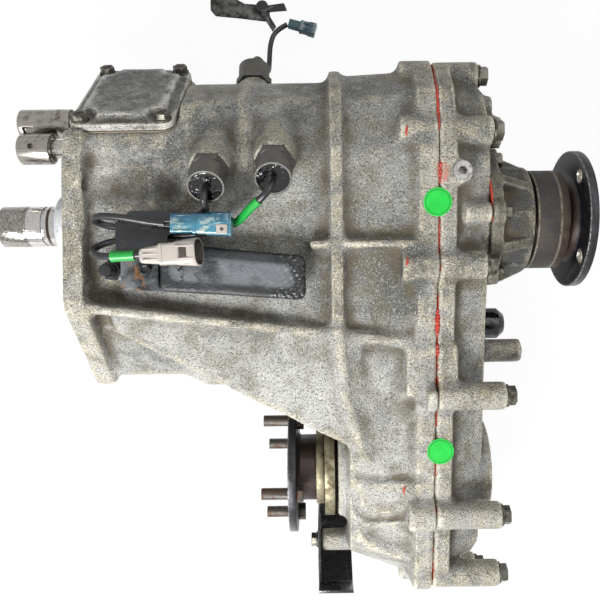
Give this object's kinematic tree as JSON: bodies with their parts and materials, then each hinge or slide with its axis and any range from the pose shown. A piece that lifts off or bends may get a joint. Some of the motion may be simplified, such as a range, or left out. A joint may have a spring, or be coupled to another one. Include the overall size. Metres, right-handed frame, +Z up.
{
  "type": "transfer case",
  "caption": "Chain-drive transfer case with a low-range gear set, two shift rails, an input shaft and flanged front and rear outputs, in ribbed cast housings.",
  "frame": {"origin": "on the main shaft axis, in the plane of the face that bolts to the gearbox", "axes": "+X along the main shaft towards the rear output, +Y towards the shift rails, +Z up"},
  "size_m": [0.495, 0.637, 0.2433],
  "materials": {
    "cast_aluminium": "sand-rough casting, weathered",
    "machined_steel": "turned and ground",
    "bolt_steel": "dull zinc plate",
    "bearing_steel": "ground",
    "gear_steel": "hardened, oiled",
    "bright_aluminium": "turned",
    "black_flange": "black, rust bloom",
    "rusty_iron": "dark rust",
    "yellow_zinc": "yellow chromate",
    "black_paint": "gloss black",
    "black_plastic": "moulded",
    "black_rubber": "matt",
    "lead_sheath": "satin black",
    "blue_plastic": "translucent blue",
    "white_plastic": "off-white",
    "teal_plastic": "dark teal",
    "seal_rubber": "brown nitrile",
    "grey_sheet": "plated sheet",
    "gasket": "liquid gasket"
  },
  "bodies": {
    "case": {"front_case": "cast_aluminium", "rear_case": "cast_aluminium", "extension_housing": "cast_aluminium", "case_bolts": "bolt_steel", "extension_bolts": "bolt_steel", "oil_plugs": "bright_aluminium", "side_cover": "cast_aluminium", "side_cover_gasket": "gasket", "m8_bolts": "bolt_steel", "input_retainer": "bright_aluminium", "input_bearing": "bearing_steel", "rear_output_bearing": "bearing_steel", "front_output_bearings": "bearing_steel", "ring_gear": "gear_steel", "drive_chain": "gear_steel", "output_seals": "seal_rubber", "range_switch": "bolt_steel", "drive_switch": "bolt_steel", "neutral_switch": "bolt_steel", "switch_caps": "black_plastic", "range_lead": "lead_sheath", "drive_lead": "lead_sheath", "neutral_lead": "lead_sheath", "blue_connector": "blue_plastic", "white_connector": "white_plastic", "teal_connector": "teal_plastic", "damper_bracket": "black_paint", "damper_weight": "black_paint", "damper_bolts": "bolt_steel", "case_stud": "black_paint", "connector_bracket": "black_paint", "protector": "black_paint", "speed_sensor": "black_plastic", "lead_bracket": "grey_sheet", "lead_clip": "black_plastic"},
    "input": {"input_shaft": "machined_steel"},
    "carrier": {"planet_carrier": "gear_steel"},
    "planet_1": {"planet_gear_1": "gear_steel"},
    "planet_2": {"planet_gear_2": "gear_steel"},
    "planet_3": {"planet_gear_3": "gear_steel"},
    "rear_output": {"rear_output_shaft": "machined_steel", "rear_flange": "black_flange", "rear_flange_nut": "bolt_steel", "rear_dust_deflector": "rusty_iron", "output_spacer": "machined_steel"},
    "range_sleeve": {"range_sleeve": "gear_steel"},
    "drive_sleeve": {"drive_sleeve": "gear_steel"},
    "chain_wheel": {"drive_sprocket": "gear_steel"},
    "front_output": {"front_output_shaft": "machined_steel", "driven_sprocket": "gear_steel", "front_flange": "black_flange", "front_flange_nut": "bolt_steel", "front_flange_studs": "bolt_steel", "front_dust_deflectors": "yellow_zinc"},
    "range_shift": {"range_rail": "machined_steel", "range_rail_head": "machined_steel", "range_fork": "cast_aluminium"},
    "drive_shift": {"drive_rail": "machined_steel", "drive_rail_head": "machined_steel", "drive_fork": "cast_aluminium"}
  },
  "joints": [
    {"name": "rear_output_spin", "type": "hinge", "parent": "case", "child": "rear_output", "pos_m": [0.3, 0, 0], "axis": [1, 0, 0], "continuous": true},
    {"name": "input_spin", "type": "hinge", "parent": "case", "child": "input", "pos_m": [0, 0, 0], "axis": [1, 0, 0], "continuous": true},
    {"name": "carrier_spin", "type": "hinge", "parent": "case", "child": "carrier", "pos_m": [0.056, 0, 0], "axis": [1, 0, 0], "continuous": true},
    {"name": "planet_1_spin", "type": "hinge", "parent": "carrier", "child": "planet_1", "pos_m": [0.056, 0, 0.033], "axis": [1, 0, 0], "continuous": true},
    {"name": "planet_2_spin", "type": "hinge", "parent": "carrier", "child": "planet_2", "pos_m": [0.056, -0.02858, -0.0165], "axis": [1, 0, 0], "continuous": true},
    {"name": "planet_3_spin", "type": "hinge", "parent": "carrier", "child": "planet_3", "pos_m": [0.056, 0.02858, -0.0165], "axis": [1, 0, 0], "continuous": true},
    {"name": "chain_wheel_spin", "type": "hinge", "parent": "case", "child": "chain_wheel", "pos_m": [0.252, 0, 0], "axis": [1, 0, 0], "continuous": true},
    {"name": "front_output_spin", "type": "hinge", "parent": "case", "child": "front_output", "pos_m": [0.2, -0.22142, -0.04], "axis": [1, 0, 0], "continuous": true},
    {"name": "range_sleeve_slide", "type": "slide", "parent": "rear_output", "child": "range_sleeve", "axis": [-1, 0, 0], "range_m": [0, 0.017]},
    {"name": "drive_sleeve_slide", "type": "slide", "parent": "rear_output", "child": "drive_sleeve", "axis": [-1, 0, 0], "range_m": [0, 0.014]},
    {"name": "range_shift_slide", "type": "slide", "parent": "case", "child": "range_shift", "axis": [-1, 0, 0], "range_m": [0, 0.017]},
    {"name": "drive_shift_slide", "type": "slide", "parent": "case", "child": "drive_shift", "axis": [-1, 0, 0], "range_m": [0, 0.014]}
  ],
  "couplings": [
    {"joint": "input_spin", "follows": "rear_output_spin", "ratio": 1},
    {"joint": "carrier_spin", "follows": "rear_output_spin", "ratio": 0.36364},
    {"joint": "planet_1_spin", "follows": "rear_output_spin", "ratio": -1.697},
    {"joint": "planet_2_spin", "follows": "rear_output_spin", "ratio": -1.697},
    {"joint": "planet_3_spin", "follows": "rear_output_spin", "ratio": -1.697},
    {"joint": "chain_wheel_spin", "follows": "rear_output_spin", "ratio": 1},
    {"joint": "front_output_spin", "follows": "rear_output_spin", "ratio": 1},
    {"joint": "range_sleeve_slide", "follows": "range_shift_slide", "ratio": 1},
    {"joint": "drive_sleeve_slide", "follows": "drive_shift_slide", "ratio": 1}
  ]
}
